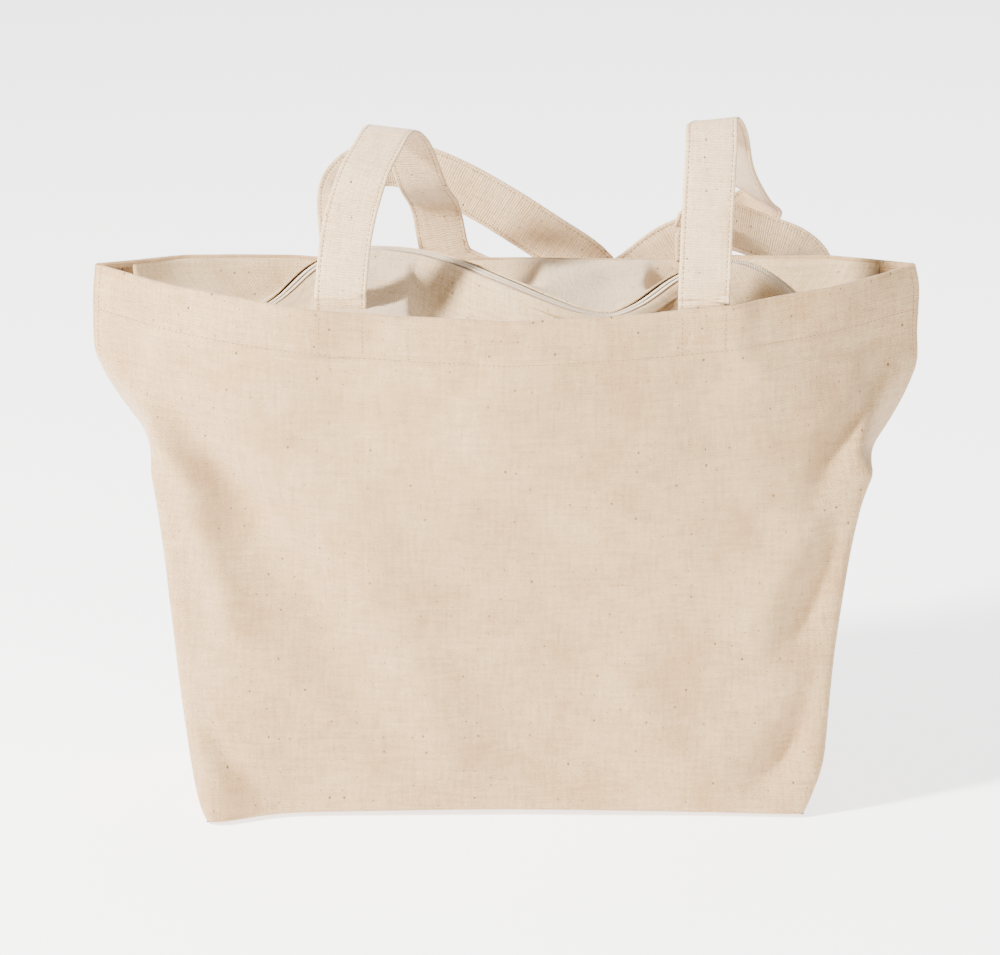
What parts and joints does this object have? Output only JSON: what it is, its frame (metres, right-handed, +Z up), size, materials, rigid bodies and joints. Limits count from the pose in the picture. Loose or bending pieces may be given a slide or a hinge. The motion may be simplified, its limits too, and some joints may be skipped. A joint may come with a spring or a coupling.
{
  "type": "zip-top canvas bag",
  "caption": "Natural cotton canvas bag with a boxed base, a recessed zip closure and two long canvas straps.",
  "frame": {"origin": "middle of the base, on the surface the bag stands on", "axes": "+X to the right seen from the front, +Y to the back, +Z up"},
  "size_m": [0.52, 0.194, 0.4456],
  "materials": {
    "canvas": "natural unbleached cotton canvas",
    "strap_canvas": "natural unbleached cotton canvas, folded and topstitched",
    "binding": "cotton tape",
    "zip_tape": "woven polyester tape",
    "zip_coil": "cream nylon coil",
    "zip_metal": "cream enamel"
  },
  "bodies": {
    "bag": {"front_panel": "canvas", "back_panel": "canvas", "front_hem_facing": "canvas", "back_hem_facing": "canvas", "side_binding_left": "binding", "side_binding_right": "binding", "corner_binding_left": "binding", "corner_binding_right": "binding", "base_seam_binding": "binding", "front_zip_panel": "canvas", "back_zip_panel": "canvas", "front_zip_tape": "zip_tape", "back_zip_tape": "zip_tape", "front_zip_coil": "zip_coil", "back_zip_coil": "zip_coil", "front_top_stop": "zip_metal", "back_top_stop": "zip_metal", "bottom_stop": "zip_metal", "zip_tab_left": "binding", "zip_tab_right": "binding", "front_strap_end_left": "strap_canvas", "front_strap_end_right": "strap_canvas", "back_strap_end_left": "strap_canvas", "back_strap_end_right": "strap_canvas"},
    "zip_slider": {"slider_body": "zip_metal", "slider_lug": "zip_metal"},
    "zip_pull": {"pull_tab": "zip_metal"},
    "front_handle": {"front_strap": "strap_canvas"},
    "back_handle": {"back_strap": "strap_canvas"}
  },
  "joints": [
    {"name": "zip_slide", "type": "slide", "parent": "bag", "child": "zip_slider", "axis": [-1, 0, 0], "range_m": [0, 0.386]},
    {"name": "pull_swing", "type": "hinge", "parent": "zip_slider", "child": "zip_pull", "pos_m": [0.1964, -0.015, 0.3209], "axis": [0, -1, 0], "range_deg": [0, 120]},
    {"name": "front_strap_lift", "type": "hinge", "parent": "bag", "child": "front_handle", "pos_m": [0.01, -0.0606, 0.33888], "axis": [1, 0, 0], "range_deg": [0, 75]},
    {"name": "back_strap_lift", "type": "hinge", "parent": "bag", "child": "back_handle", "pos_m": [0.01, 0.04863, 0.34171], "axis": [1, 0, 0], "range_deg": [0, 22.5]}
  ],
  "couplings": [
    {"joint": "back_strap_lift", "follows": "front_strap_lift", "ratio": 0.3}
  ]
}
